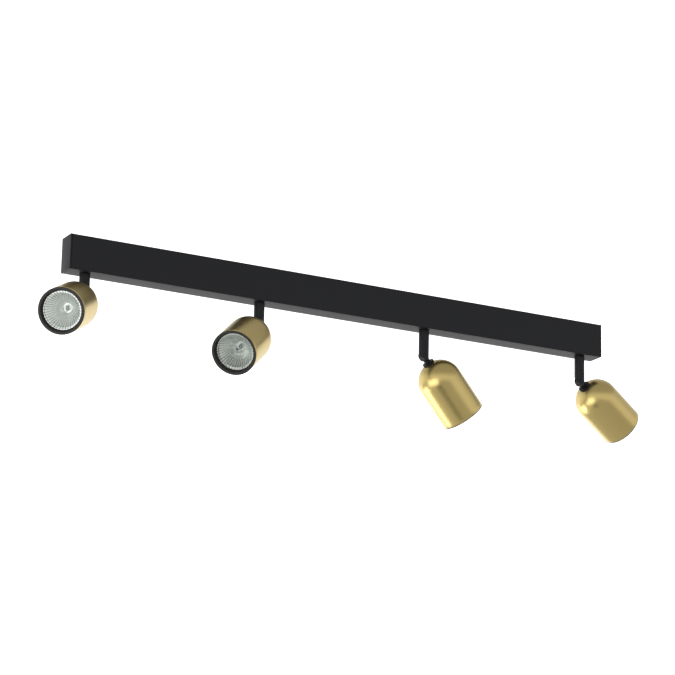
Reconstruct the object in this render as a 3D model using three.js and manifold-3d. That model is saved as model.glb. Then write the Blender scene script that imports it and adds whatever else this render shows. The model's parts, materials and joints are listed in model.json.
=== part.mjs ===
// Ceiling spotlight bar: a folded steel channel that hangs on a ceiling bracket and carries
// four spot heads. Each head swivels on its stem and tilts against the cheek at the stem's end.
// Millimetres, +Z up. The origin is the centre of the face that meets the ceiling, the bar
// runs along X, the front is -Y, and everything hangs towards -Z.
import * as THREE from 'three';
import { mergeVertices } from 'three/addons/utils/BufferGeometryUtils.js';
import Module from 'manifold-3d';

const wasm = await Module();
wasm.setup();

// ---- Driving dimensions ----

const gap = 0.3; // between pieces that touch

// Bar
const barLength = 800;
const barWidth = 29;
const barHeight = 46.5;
const channelWall = 1.5;
const channelCorner = 1.2; // outside radius of the folds
const hookLip = 4.5; // inward fold along the front top edge
const capThickness = 2;
const capBevel = 0.6;
const capTongue = 6; // how far a cap's tray reaches into the channel

// Ceiling bracket and its screws
const bracketLength = 320;
const bracketSheet = 1.5;
const bracketFlange = 14; // height of the rear flange
const bracketSlotInset = 30; // slot's centre from the bracket's end
const bracketSlotLength = 12;
const bracketSlotWidth = 5;
const cableHoleX = 60;
const grommetWall = 2;
const grommetFlange = 2.2;
const fixingScrewInset = 40; // screw from the bracket's end
const fixingScrewDrop = 8; // below the ceiling
const fixingScrewRadius = 1.5;
const fixingHeadRadius = 3;
const fixingHeadHeight = 1.8;
const earthScrewX = -60;
const earthScrewRadius = 2;
const earthHeadRadius = 4;
const earthHeadHeight = 2.6;

// Terminal block and wires
const blockLength = 30;
const blockHeight = 14;
const blockPoles = 3;
const blockHoleRadius = 1.7;
const wireRadius = 0.9;
const wireRise = 4; // the wires run this far above the stem necks
const wireWallGap = 1.2;

// Stems
const stemInset = 27.25; // outermost stems from the ends of the bar
const stemRadius = 7;
const stemDrop = 35.5; // underside of the bar to the tilt axis
const neckRadius = 5; // threaded neck at each end of the joint
const neckBore = 3; // way for the wires
const neckHeight = 8; // neck above the bar's underside
const nutAcrossFlats = 14;
const nutHeight = 3;

// Knuckle between stem and casing
const cheekOffset = 2; // stem's axis to the near face of the knuckle's eye
const eyeThickness = 5;
const waistRadius = 4.4;
const waistLength = 3; // round part between the eye and the collars
const flangeWidth = 1.25;
const flangeHeight = 1.2;
const grooveWidth = 1;
const grooveHeight = 0.5;
const washerHeight = 0.5; // down to the top of the dome
const pivotScrewRadius = 1.8;
const pivotHeadRadius = 3.4;
const pivotHeadHeight = 2.2;
const pivotWallLeft = 1.8; // metal left in front of the screw's end

// Lamp: a standard 50 mm reflector lamp with a two-pin twist base
const lampRadius = 25;
const lampLength = 46; // front face to the base's end
const lampFlange = 3.5;
const lensMargin = 1.8; // width of the rim that holds the lens
const lensThickness = 1.8;
const reflectorDepth = 18;
const reflectorThroat = 8.8;
const reflectorWall = 1.6;
const pocketDepth = 25;
const pocketRadius = 6.4;
const capsuleRadius = 4;
const capsuleLength = 14;
const lampBaseRadius = 11;
const pinRadius = 2.2;
const pinLength = 6;
const pinSpacing = 10;

// Casing, baffle ring and what is inside
const baffleWidth = 3.7; // lamp edge to the outside of the baffle ring
const casingWall = 1;
const casingLength = 88; // top of the dome to the front of the ring
const baffleDepth = 14;
const baffleSkirt = 1.25;
const baffleFlange = 0.7; // thickness in front of the casing's edge
const baffleFace = 3.5; // flat front of the ring
const baffleLip = 0.8;
const lampRecess = 5.3; // lamp face behind the front of the ring
const holderRadius = 14;
const holderHeight = 11;
const bracketStripWidth = 14;
const bracketStrip = 1;
const bracketHalfSpan = 11;
const bracketFoot = 6;

// Sides of round pieces, from the casings down to the smallest holes
const headSides = 20;
const domeSteps = 5;
const stemSides = 16;
const screwSides = 12;
const smallSides = 8;

// Where each head points: pan from +X about +Z, tilt up from straight down, in degrees
const heads = [
  { pan: -129.5, tilt: 66.5 },
  { pan: -137.5, tilt: 57 },
  { pan: 9.5, tilt: 44.5 },
  { pan: 16.5, tilt: 61.5 },
];

// ---- Finishes ----

const finish = (color, roughness, metalness) =>
  new THREE.MeshStandardMaterial({ color, roughness, metalness });
const blackCoat = finish(0x26262a, 0.5, 0.1);
const satinBrass = finish(0xb89c5c, 0.35, 1);
const zincSteel = finish(0xb4b8bc, 0.4, 1);
const blackPlastic = finish(0x1a1b19, 0.6, 0);
const whiteNylon = finish(0xe8e6de, 0.5, 0);
const ceramic = finish(0xece8df, 0.7, 0);
const silvered = finish(0xd8dcd8, 0.15, 1);
const clearGlass = finish(0xe6efe9, 0.05, 0);
const brownInsulation = finish(0x5d3a22, 0.5, 0);
const blueInsulation = finish(0x2c4f8f, 0.5, 0);
const greenInsulation = finish(0x5f9b3c, 0.5, 0);

// ---- Solids ----

// A closed solid from any closed geometry, with its faces turned outwards.
function solid(geometry) {
  const bare = geometry.clone();
  bare.deleteAttribute('normal');
  bare.deleteAttribute('uv');
  const merged = mergeVertices(bare, 1e-4);
  const positions = merged.attributes.position.array;
  const index = merged.index.array;
  const corner = (i) => new THREE.Vector3().fromArray(positions, 3 * i);
  const triangles = [];
  let volume = 0;
  for (let t = 0; t < index.length; t += 3) {
    const [a, b, c] = [index[t], index[t + 1], index[t + 2]];
    if (a === b || b === c || c === a) continue;
    triangles.push([a, b, c]);
    volume += corner(a).dot(corner(b).cross(corner(c)));
  }
  const turned = volume > 0 ? triangles : triangles.map(([a, b, c]) => [a, c, b]);
  return new wasm.Manifold(new wasm.Mesh({
    numProp: 3,
    vertProperties: new Float32Array(positions),
    triVerts: new Uint32Array(turned.flat()),
  }));
}

function geometryOf(body) {
  const mesh = body.getMesh();
  const geometry = new THREE.BufferGeometry();
  geometry.setAttribute('position', new THREE.BufferAttribute(mesh.vertProperties, 3));
  geometry.setIndex(new THREE.BufferAttribute(mesh.triVerts, 1));
  geometry.computeVertexNormals();
  return geometry;
}

// A solid of revolution about Z from [radius, z] points that end on the axis or close.
function turned(profile, segments) {
  const points = profile.map(([r, z]) => new THREE.Vector2(r, z));
  return solid(new THREE.LatheGeometry(points, segments).rotateX(Math.PI / 2));
}

function ring(profile, segments) {
  return turned([...profile, profile[0]], segments);
}

// A round rod between two heights, about the Z axis at (x, y).
function rod(radius, z0, z1, segments, x = 0, y = 0) {
  const geometry = new THREE.CylinderGeometry(radius, radius, z1 - z0, segments);
  return solid(geometry.rotateX(Math.PI / 2).translate(x, y, (z0 + z1) / 2));
}

// The same rod laid along Y, about the axis at (x, z).
function rodAlongY(radius, y0, y1, segments, x = 0, z = 0) {
  const geometry = new THREE.CylinderGeometry(radius, radius, y1 - y0, segments);
  return solid(geometry.translate(x, (y0 + y1) / 2, z));
}

function rodAlongX(radius, x0, x1, segments, y, z) {
  const geometry = new THREE.CylinderGeometry(radius, radius, x1 - x0, segments);
  return solid(geometry.rotateZ(Math.PI / 2).translate((x0 + x1) / 2, y, z));
}

function block([x0, y0, z0], [x1, y1, z1]) {
  const geometry = new THREE.BoxGeometry(x1 - x0, y1 - y0, z1 - z0);
  return solid(geometry.translate((x0 + x1) / 2, (y0 + y1) / 2, (z0 + z1) / 2));
}

// An outline in the Y-Z plane drawn out along X, centred.
function alongX(shape, length) {
  const options = { depth: length, bevelEnabled: false, curveSegments: 3 };
  const geometry = new THREE.ExtrudeGeometry(shape, options).translate(0, 0, -length / 2);
  geometry.rotateX(Math.PI / 2).rotateZ(Math.PI / 2);
  return solid(geometry);
}

function outline(points) {
  return new THREE.Shape(points.map(([x, y]) => new THREE.Vector2(x, y)));
}

// A hexagonal nut on the Z axis with its seat at z0.
function hexNut(z0, z1, hole) {
  return rod(nutAcrossFlats / Math.sqrt(3), z0, z1, 6).subtract(rod(hole, z0 - 1, z1 + 1, stemSides));
}

// A round wire of 8 sides along a smooth curve.
function wireAlong(points, steps) {
  const curve = new THREE.CatmullRomCurve3(points.map((p) => new THREE.Vector3(...p)));
  const section = new THREE.Shape().absarc(0, 0, wireRadius, 0, 2 * Math.PI);
  const options = { steps, extrudePath: curve, curveSegments: 4, bevelEnabled: false };
  return solid(new THREE.ExtrudeGeometry(section, options));
}

const arc = (cx, cz, radius, from, to, steps) =>
  Array.from({ length: steps + 1 }, (_, i) => {
    const angle = THREE.MathUtils.degToRad(from + ((to - from) * i) / steps);
    return [cx + radius * Math.cos(angle), cz + radius * Math.sin(angle)];
  });

function piece(name, body, material) {
  const mesh = new THREE.Mesh(geometryOf(body), material);
  mesh.name = name;
  return mesh;
}

// ---- Bar ----

const underside = -barHeight;
const floorTop = underside + channelWall;
const innerHalf = barWidth / 2 - channelWall;
const channelLength = barLength - 2 * (capThickness + gap);
const stemSpacing = (barLength - 2 * stemInset) / (heads.length - 1);
const stemXs = heads.map((_, i) => i * stemSpacing - barLength / 2 + stemInset);
const neckHole = neckRadius + gap;
const fixingX = bracketLength / 2 - fixingScrewInset;
const fixingXs = [-fixingX, fixingX];

function barChannel() {
  const half = barWidth / 2;
  const shape = new THREE.Shape();
  shape.moveTo(half, 0);
  shape.lineTo(innerHalf, 0);
  shape.lineTo(innerHalf, floorTop);
  shape.lineTo(-innerHalf, floorTop);
  shape.lineTo(-innerHalf, -channelWall);
  shape.lineTo(-half + hookLip, -channelWall);
  shape.lineTo(-half + hookLip, 0);
  shape.absarc(-half + channelCorner, -channelCorner, channelCorner, Math.PI / 2, Math.PI);
  shape.absarc(-half + channelCorner, underside + channelCorner, channelCorner, Math.PI, 1.5 * Math.PI);
  shape.absarc(half - channelCorner, underside + channelCorner, channelCorner, 1.5 * Math.PI, 2 * Math.PI);
  let body = alongX(shape, channelLength);
  for (const x of stemXs) body = body.subtract(rod(neckHole, underside - 1, floorTop + 1, stemSides, x));
  for (const x of fixingXs) {
    const hole = fixingScrewRadius + gap;
    body = body.subtract(rodAlongY(hole, innerHalf - 1, half + 1, screwSides, x, -fixingScrewDrop));
  }
  return body;
}

// An end cap facing +X: a plate with bevelled edges and a shallow tray that fits the channel.
function endCap() {
  const half = barWidth / 2;
  const inset = channelWall + gap;
  const plateOutline = outline([[-half, -barHeight], [half, -barHeight], [half, 0], [-half, 0]]);
  const plate = alongX(plateOutline, capThickness);
  const bevelled = [-1, 1].flatMap((side) => [
    bevelCut([side * half, 0], side > 0 ? 0 : 180, barHeight * 3),
    bevelCut([0, side > 0 ? 0 : -barHeight], side > 0 ? 90 : 270, barWidth * 3),
  ]).reduce((body, cut) => body.subtract(cut), plate);
  const inner = -capThickness / 2;
  const tray = block(
    [inner - capTongue, -half + inset, -barHeight + inset],
    [inner + 0.5, half - inset, -inset],
  );
  const hollow = block(
    [inner - capTongue - 1, -half + inset + channelWall, -barHeight + inset + channelWall],
    [inner, half - inset - channelWall, -inset - channelWall],
  );
  return bevelled.add(tray.subtract(hollow));
}

// A bar of square section whose corner takes the bevel off one outer edge of a cap.
function bevelCut([y, z], direction, length) {
  const side = capBevel * Math.SQRT2;
  const geometry = new THREE.BoxGeometry(side, side, length);
  geometry.rotateY(Math.PI / 4).translate(capThickness / 2, 0, 0);
  geometry.rotateX(Math.PI / 2).rotateX(THREE.MathUtils.degToRad(direction) + Math.PI / 2);
  return solid(geometry.translate(0, y, z));
}

// The bracket's section: a flat web between the joggled front edge, which slips under the
// channel's lip, and the rear flange, which takes the fixing screws.
const hookFront = -barWidth / 2 + hookLip + gap;
const hookTop = -channelWall - gap;
const bracketBack = innerHalf - gap;
const webFront = hookFront + bracketSheet;
const webBack = bracketBack - bracketSheet;
const webMiddle = (webFront + webBack) / 2;
const cableHoleRadius = (webBack - webFront) / 2 - grommetFlange - gap;

function ceilingBracket() {
  const foot = -innerHalf + gap;
  const section = outline([
    [bracketBack, 0],
    [bracketBack, -bracketFlange],
    [webBack, -bracketFlange],
    [webBack, -bracketSheet],
    [webFront, -bracketSheet],
    [webFront, hookTop - bracketSheet],
    [foot, hookTop - bracketSheet],
    [foot, hookTop],
    [hookFront, hookTop],
    [hookFront, 0],
  ]);
  const below = -bracketSheet - 1;
  let body = alongX(section, bracketLength);
  for (const side of [-1, 1]) {
    const x = side * (bracketLength / 2 - bracketSlotInset);
    const run = (bracketSlotLength - bracketSlotWidth) / 2;
    const half = bracketSlotWidth / 2;
    const slot = block([x - run, webMiddle - half, below], [x + run, webMiddle + half, 1])
      .add(rod(half, below, 1, screwSides, x - run, webMiddle))
      .add(rod(half, below, 1, screwSides, x + run, webMiddle));
    body = body.subtract(slot);
  }
  for (const x of fixingXs) {
    const hole = fixingScrewRadius + gap;
    body = body.subtract(rodAlongY(hole, webBack - 1, bracketBack + 1, screwSides, x, -fixingScrewDrop));
  }
  body = body.subtract(rod(cableHoleRadius, below, 1, stemSides, cableHoleX, webMiddle));
  return body.subtract(rod(earthScrewRadius + gap, below, 1, screwSides, earthScrewX, webMiddle));
}

function cableGrommet() {
  const outer = cableHoleRadius - gap;
  const seat = -bracketSheet - gap;
  return ring([
    [outer - grommetWall, 0],
    [outer, 0],
    [outer, seat],
    [outer + grommetFlange, seat],
    [outer + grommetFlange, seat - grommetFlange],
    [outer - grommetWall, seat - grommetFlange],
  ], stemSides);
}

// A pan-head screw on the Z axis: head down, shank up to z1, with a cross recess in the head.
function panScrew(shankRadius, z1, seat, headRadius, headHeight, segments) {
  const bottom = seat - headHeight;
  const body = turned([
    [0, bottom],
    [headRadius * 0.7, bottom],
    [headRadius, bottom + headHeight * 0.4],
    [headRadius, seat],
    [shankRadius, seat],
    [shankRadius, z1],
    [0, z1],
  ], segments);
  const arm = headRadius * 0.5;
  const slot = headRadius * 0.14;
  const deep = bottom + headHeight * 0.5;
  const cross = block([-arm, -slot, bottom - 1], [arm, slot, deep])
    .add(block([-slot, -arm, bottom - 1], [slot, arm, deep]));
  return body.subtract(cross);
}

// A fixing screw as it comes off the bench, head down; it is laid along -Y in the assembly.
function fixingScrew() {
  const tip = 2 * (channelWall + bracketSheet);
  return panScrew(fixingScrewRadius, tip, -gap, fixingHeadRadius, fixingHeadHeight, screwSides);
}

function earthScrew() {
  const seat = -bracketSheet - gap;
  return panScrew(earthScrewRadius, -gap, seat, earthHeadRadius, earthHeadHeight, screwSides);
}

const wireY = innerHalf - wireWallGap - wireRadius;
const wireZ = underside + neckHeight + wireRise;
const blockHalf = wireY - wireRadius - 2 * gap;
const blockBottom = floorTop + gap;

function terminalBlock() {
  const x0 = cableHoleX - blockLength / 2;
  const x1 = cableHoleX + blockLength / 2;
  const pitch = (2 * blockHalf) / blockPoles;
  const middle = blockBottom + blockHeight / 2;
  let body = block([x0, -blockHalf, blockBottom], [x1, blockHalf, blockBottom + blockHeight]);
  for (let i = 0; i < blockPoles; i += 1) {
    const y = (i - (blockPoles - 1) / 2) * pitch;
    body = body.subtract(rodAlongX(blockHoleRadius, x0 - 1, x1 + 1, smallSides, y, middle));
    for (const x of [x0 + blockLength / 4, x1 - blockLength / 4]) {
      body = body.subtract(rod(blockHoleRadius, middle, blockBottom + blockHeight + 1, smallSides, x, y));
    }
  }
  return body;
}

// A supply wire that runs the length of the bar and drops into every stem.
// side is -1 for the one along the front wall and 1 for the one along the rear wall.
function supplyWire(side) {
  const y = side * wireY;
  const inBore = side * (neckBore - wireRadius - gap);
  const reach = 14;
  let body = rodAlongX(wireRadius, stemXs[0] + reach, stemXs.at(-1) - reach, smallSides, y, wireZ);
  for (const x of stemXs) {
    const inward = x < 0 ? 1 : -1;
    body = body.add(wireAlong([
      [x, inBore, floorTop],
      [x, inBore, wireZ - wireRise],
      [x + inward, inBore * 1.5, wireZ - wireRise / 3],
      [x + inward * 8, y * 0.9, wireZ],
      [x + inward * (reach + 1), y, wireZ],
    ], 6));
  }
  return body;
}

function earthWire() {
  const seat = -bracketSheet - earthHeadHeight - 2 * gap - wireRadius;
  const middle = blockBottom + blockHeight / 2;
  const entry = cableHoleX - blockLength / 2;
  return wireAlong([
    [earthScrewX, webMiddle, seat],
    [earthScrewX + 14, webMiddle, seat - 1],
    [earthScrewX + 40, 0, seat - 10],
    [entry - 40, 0, middle + 4],
    [entry - 12, 0, middle],
    [entry + 3, 0, middle],
  ], 14);
}

// ---- Stem and knuckle, with the tilt axis along Y ----

const lapStart = stemRadius + gap; // radius of the seat that the eye turns in
const eyeNear = -cheekOffset;
const eyeFar = eyeNear + eyeThickness;

// A stem with a nut's neck above. Below, a cheek is left beside a round seat for the eye, which
// is open on the side that the knuckle's waist swings to.
function stem() {
  const axis = -stemDrop;
  const wide = 4 * stemRadius;
  const body = turned([
    [0, axis - stemRadius],
    [stemRadius, axis - stemRadius],
    [stemRadius, -gap],
    [neckRadius, -gap],
    [neckRadius, neckHeight],
    [neckBore, neckHeight],
    [neckBore, axis + lapStart - 1],
    [0, axis + lapStart - 1],
  ], stemSides);
  const round = block([-wide, -wide, axis], [wide, wide, wide])
    .add(rodAlongY(stemRadius, -wide, wide, headSides, 0, axis));
  return body
    .intersect(round)
    .subtract(rodAlongY(lapStart, eyeNear - gap, wide, 2 * headSides, 0, axis))
    .subtract(block([0, eyeNear - gap, axis], [wide, wide, axis + waistRadius + gap]))
    .subtract(rodAlongY(pivotScrewRadius + gap, pivotWallLeft - stemRadius, 0, screwSides, 0, axis));
}

const knuckleLength = lapStart + waistLength + flangeHeight + grooveHeight + washerHeight;
const casingRadius = lampRadius + baffleWidth + gap + casingWall;
const domeCentre = -knuckleLength - casingRadius;
const domeHeightAt = (r) => domeCentre + Math.sqrt(casingRadius ** 2 - r ** 2);
const innerRadius = casingRadius - casingWall;
const innerHeightAt = (r) => domeCentre + Math.sqrt(innerRadius ** 2 - r ** 2);
const stripTop = innerHeightAt(Math.hypot(bracketHalfSpan, bracketStripWidth / 2)) - gap;
const stripSeat = stripTop - bracketStrip;
const innerNutTop = stripSeat - gap;
const neckEnd = innerNutTop - nutHeight - 1;

function knuckle() {
  const wide = 4 * stemRadius;
  const flangeTop = -lapStart - waistLength;
  const flangeBottom = flangeTop - flangeHeight;
  const washerTop = flangeBottom - grooveHeight;
  const flangeRadius = stemRadius + flangeWidth;
  const body = turned([
    [0, -lapStart],
    [neckBore, -lapStart],
    [neckBore, neckEnd],
    [neckRadius, neckEnd],
    [neckRadius, domeHeightAt(neckRadius) + gap],
    [flangeRadius, domeHeightAt(flangeRadius) + gap],
    [flangeRadius, washerTop],
    [stemRadius - grooveWidth, washerTop],
    [stemRadius - grooveWidth, flangeBottom],
    [flangeRadius, flangeBottom],
    [flangeRadius, flangeTop],
    [waistRadius, flangeTop],
    [waistRadius, 0],
    [0, 0],
  ], stemSides);
  return body
    .subtract(block([-wide, -wide, -lapStart], [wide, eyeNear, wide]))
    .subtract(block([-wide, eyeFar, -lapStart], [wide, wide, wide]))
    .add(rodAlongY(stemRadius, eyeNear, eyeFar, headSides))
    .subtract(rodAlongY(pivotScrewRadius + gap, -wide, wide, screwSides));
}

// The screw that clamps the eye against the cheek.
function pivotScrew() {
  const seat = eyeFar + gap;
  const top = seat + pivotHeadHeight;
  const end = pivotWallLeft - stemRadius + gap;
  const geometry = geometryOf(turned([
    [0, end],
    [pivotScrewRadius, end],
    [pivotScrewRadius, seat],
    [pivotHeadRadius, seat],
    [pivotHeadRadius, top],
    [pivotHeadRadius * 0.45, top],
    [pivotHeadRadius * 0.45, top - pivotHeadHeight / 2],
    [0, top - pivotHeadHeight / 2],
  ], screwSides));
  return solid(geometry.rotateX(-Math.PI / 2));
}

// ---- Head: casing, baffle ring, holder and lamp, hanging along -Z below the tilt axis ----

const rim = -knuckleLength - casingLength;
const lampFace = rim + lampRecess;
const lampBack = lampFace + lampLength;
const holderBottom = lampBack + gap;
const holderTop = holderBottom + holderHeight;

function casing() {
  const hole = neckRadius + gap;
  const outerTop = 90 - THREE.MathUtils.radToDeg(Math.asin(hole / casingRadius));
  const innerTop = 90 - THREE.MathUtils.radToDeg(Math.asin(hole / innerRadius));
  const edge = rim + baffleFlange + gap;
  return ring([
    [innerRadius, edge],
    [casingRadius, edge],
    ...arc(0, domeCentre, casingRadius, 0, outerTop, domeSteps),
    ...arc(0, domeCentre, innerRadius, innerTop, 0, domeSteps),
  ], headSides);
}

// The flange at the front covers the casing's edge.
function baffleRing() {
  const outer = innerRadius - gap;
  const inner = lampRadius - gap;
  const lipFront = rim + lampRecess - gap - baffleLip;
  return ring([
    [casingRadius, rim],
    [casingRadius, rim + baffleFlange],
    [outer, rim + baffleFlange],
    [outer, rim + baffleDepth],
    [outer - baffleSkirt, rim + baffleDepth],
    [outer - baffleSkirt, lipFront + baffleLip],
    [inner, lipFront + baffleLip],
    [inner, lipFront],
    [casingRadius - baffleFace, rim],
  ], headSides);
}

const lensRadius = lampRadius - lensMargin;

// Reflector radius at a depth behind the lens: a parabola from the lens to the throat.
const lensBack = lampFace + gap + lensThickness + gap;
const reflectorMouth = lensRadius - 1;
function bowl(steps) {
  const depth = reflectorDepth - (lensBack - lampFace);
  return Array.from({ length: steps + 1 }, (_, i) => {
    const r = reflectorMouth + ((reflectorThroat - reflectorMouth) * i) / steps;
    const share = (reflectorMouth ** 2 - r ** 2) / (reflectorMouth ** 2 - reflectorThroat ** 2);
    return [r, lensBack + depth * share];
  });
}

function lampReflector() {
  const inside = bowl(3);
  const shell = inside.slice(1).map(([r, z]) => [r + reflectorWall * 0.7, z + reflectorWall]);
  const body = turned([
    [0, lampFace + pocketDepth],
    [pocketRadius, lampFace + pocketDepth],
    ...inside.slice().reverse(),
    [lensRadius + gap, lensBack],
    [lensRadius + gap, lampFace],
    [lampRadius - gap, lampFace],
    [lampRadius - gap, lampFace + lampFlange],
    ...shell,
    [lampBaseRadius, lampFace + pocketDepth],
    [lampBaseRadius, lampBack],
    [0, lampBack],
  ], headSides);
  return [-1, 1].reduce((whole, side) => {
    const x = (side * pinSpacing) / 2;
    return whole.add(rod(pinRadius, lampBack - 1, lampBack + pinLength, smallSides, x));
  }, body);
}

function lampLens() {
  return rod(lensRadius, lampFace + gap, lampFace + gap + lensThickness, headSides);
}

function lampCapsule() {
  const foot = lampFace + pocketDepth - gap;
  const tip = foot - capsuleLength;
  return turned([
    [0, tip],
    [capsuleRadius * 0.3, tip],
    [capsuleRadius, tip + capsuleRadius],
    [capsuleRadius, foot],
    [0, foot],
  ], smallSides);
}

function lampHolder() {
  const chamfer = 1;
  const body = turned([
    [0, holderBottom],
    [holderRadius - chamfer, holderBottom],
    [holderRadius, holderBottom + chamfer],
    [holderRadius, holderTop - chamfer],
    [holderRadius - chamfer, holderTop],
    [0, holderTop],
  ], stemSides);
  return [-1, 1].reduce((whole, side) => {
    const x = (side * pinSpacing) / 2;
    const top = holderBottom + pinLength + 1;
    return whole.subtract(rod(pinRadius + gap, holderBottom - 1, top, smallSides, x));
  }, body);
}

// A strip folded into a C: its top is clamped by the inner nut and its feet hold the holder.
function holderBracket() {
  const foot = holderTop + gap;
  const half = bracketHalfSpan;
  const inner = half - bracketStrip;
  const toe = half - bracketFoot;
  const section = outline([
    [-toe, foot],
    [-half, foot],
    [-half, stripTop],
    [half, stripTop],
    [half, foot],
    [toe, foot],
    [toe, foot + bracketStrip],
    [inner, foot + bracketStrip],
    [inner, stripSeat],
    [-inner, stripSeat],
    [-inner, foot + bracketStrip],
    [-toe, foot + bracketStrip],
  ]);
  const geometry = geometryOf(alongX(section, bracketStripWidth)).rotateZ(-Math.PI / 2);
  return solid(geometry).subtract(rod(neckHole, stripSeat - 1, stripTop + 1, stemSides));
}

// ---- Assembly ----

const group = new THREE.Group();

group.add(piece('bar_channel', barChannel(), blackCoat));
for (const [name, side] of [['end_cap_left', -1], ['end_cap_right', 1]]) {
  const cap = piece(name, endCap(), blackCoat);
  cap.rotation.z = side > 0 ? 0 : Math.PI;
  cap.position.x = side * (barLength / 2 - capThickness / 2);
  group.add(cap);
}
group.add(piece('ceiling_bracket', ceilingBracket(), zincSteel));
for (const [name, x] of [['fixing_screw_left', fixingXs[0]], ['fixing_screw_right', fixingXs[1]]]) {
  const screw = piece(name, fixingScrew(), blackCoat);
  screw.rotation.x = Math.PI / 2;
  screw.position.set(x, barWidth / 2, -fixingScrewDrop);
  group.add(screw);
}
const earth = piece('earth_screw', earthScrew(), zincSteel);
earth.position.set(earthScrewX, webMiddle, 0);
group.add(earth);
const grommet = piece('cable_grommet', cableGrommet(), blackPlastic);
grommet.position.set(cableHoleX, webMiddle, 0);
group.add(grommet);
group.add(piece('terminal_block', terminalBlock(), whiteNylon));
group.add(piece('live_wire', supplyWire(-1), brownInsulation));
group.add(piece('neutral_wire', supplyWire(1), blueInsulation));
group.add(piece('earth_wire', earthWire(), greenInsulation));

heads.forEach(({ pan, tilt }, i) => {
  const number = i + 1;
  const swivel = new THREE.Group();
  swivel.position.set(stemXs[i], 0, underside);
  swivel.rotation.z = THREE.MathUtils.degToRad(pan);
  group.add(swivel);
  const seat = channelWall + gap;
  swivel.add(piece(`stem_${number}`, stem(), blackCoat));
  swivel.add(piece(`stem_nut_${number}`, hexNut(seat, seat + nutHeight, neckHole), zincSteel));

  const head = new THREE.Group();
  head.position.z = -stemDrop;
  head.rotation.y = -THREE.MathUtils.degToRad(tilt);
  swivel.add(head);
  head.add(piece(`knuckle_${number}`, knuckle(), blackCoat));
  head.add(piece(`pivot_screw_${number}`, pivotScrew(), zincSteel));
  const innerNut = hexNut(innerNutTop - nutHeight, innerNutTop, neckHole);
  head.add(piece(`knuckle_nut_${number}`, innerNut, zincSteel));
  head.add(piece(`casing_${number}`, casing(), satinBrass));
  head.add(piece(`baffle_ring_${number}`, baffleRing(), blackPlastic));
  head.add(piece(`holder_bracket_${number}`, holderBracket(), zincSteel));
  head.add(piece(`lamp_holder_${number}`, lampHolder(), ceramic));
  head.add(piece(`lamp_reflector_${number}`, lampReflector(), silvered));
  head.add(piece(`lamp_lens_${number}`, lampLens(), clearGlass));
  head.add(piece(`lamp_capsule_${number}`, lampCapsule(), clearGlass));
});

export default group;
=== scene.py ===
# A ceiling spotlight bar: a folded black steel channel that hooks on to a ceiling bracket and
# carries four satin brass spots, each on a stem that swivels and a knuckle that tilts.
# Lengths in this file are millimetres; a mesh becomes metres when it is made into an object.
import json
import math

import bmesh
import bpy
from mathutils import Matrix, Vector


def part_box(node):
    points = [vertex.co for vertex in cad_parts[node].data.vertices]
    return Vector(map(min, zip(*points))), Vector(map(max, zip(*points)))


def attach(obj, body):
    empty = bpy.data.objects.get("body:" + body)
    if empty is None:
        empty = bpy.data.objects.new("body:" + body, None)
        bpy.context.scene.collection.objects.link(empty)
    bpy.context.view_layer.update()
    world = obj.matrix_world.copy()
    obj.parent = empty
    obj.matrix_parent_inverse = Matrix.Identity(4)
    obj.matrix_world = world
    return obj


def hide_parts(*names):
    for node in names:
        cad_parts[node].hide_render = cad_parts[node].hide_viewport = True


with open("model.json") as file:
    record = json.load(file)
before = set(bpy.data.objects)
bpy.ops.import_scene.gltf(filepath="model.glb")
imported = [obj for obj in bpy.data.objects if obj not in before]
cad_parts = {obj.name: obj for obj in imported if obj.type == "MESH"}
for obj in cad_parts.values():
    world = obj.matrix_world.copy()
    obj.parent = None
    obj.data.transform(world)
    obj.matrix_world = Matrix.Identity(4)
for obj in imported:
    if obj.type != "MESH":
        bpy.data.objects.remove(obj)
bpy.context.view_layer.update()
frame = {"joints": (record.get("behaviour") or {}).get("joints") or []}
MM = 0.001

# ---- Room ---------------------------------------------------------------------------------
# The bar hangs from the ceiling of a pale room, over a plain floor. The wall behind it is bright
# and the near side is dimmer, which is what the brass shows. Soft lamps light it from below, and
# a grey cloth disc that the camera doesn't see keeps part of their light off.
FLOOR_LEVEL = -1700
FLOOR_SIZE = 26000
BACKDROP = 1.1
NEAR_SIDE = 0.72
OVERHEAD = 0.5  # the ceiling's share of the brightness of the walls
BLANK = 1.6  # what the eye sees behind the bar, a plain white
BRIGHT_WALL = (170, 2)  # azimuth and elevation of its middle
FLAG_RADIUS = 330
FLAG_AZIMUTH = -27
FLAG_ELEVATION = -48
FLAG_DISTANCE = 1200


class Value:
    """A node's output. Arithmetic on it adds Math nodes; numbers alone stay in Python."""

    def __init__(self, finish, socket):
        self.finish = finish
        self.socket = socket

    def maths(self, operation, *terms):
        inputs = dict(enumerate(terms))
        return self.finish.node("Math", {"operation": operation}, inputs)

    def __add__(self, other):
        return self.maths("ADD", self, other)

    def __radd__(self, other):
        return self.maths("ADD", other, self)

    def __sub__(self, other):
        return self.maths("SUBTRACT", self, other)

    def __rsub__(self, other):
        return self.maths("SUBTRACT", other, self)

    def __mul__(self, other):
        return self.maths("MULTIPLY", self, other)

    def __rmul__(self, other):
        return self.maths("MULTIPLY", other, self)


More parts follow.
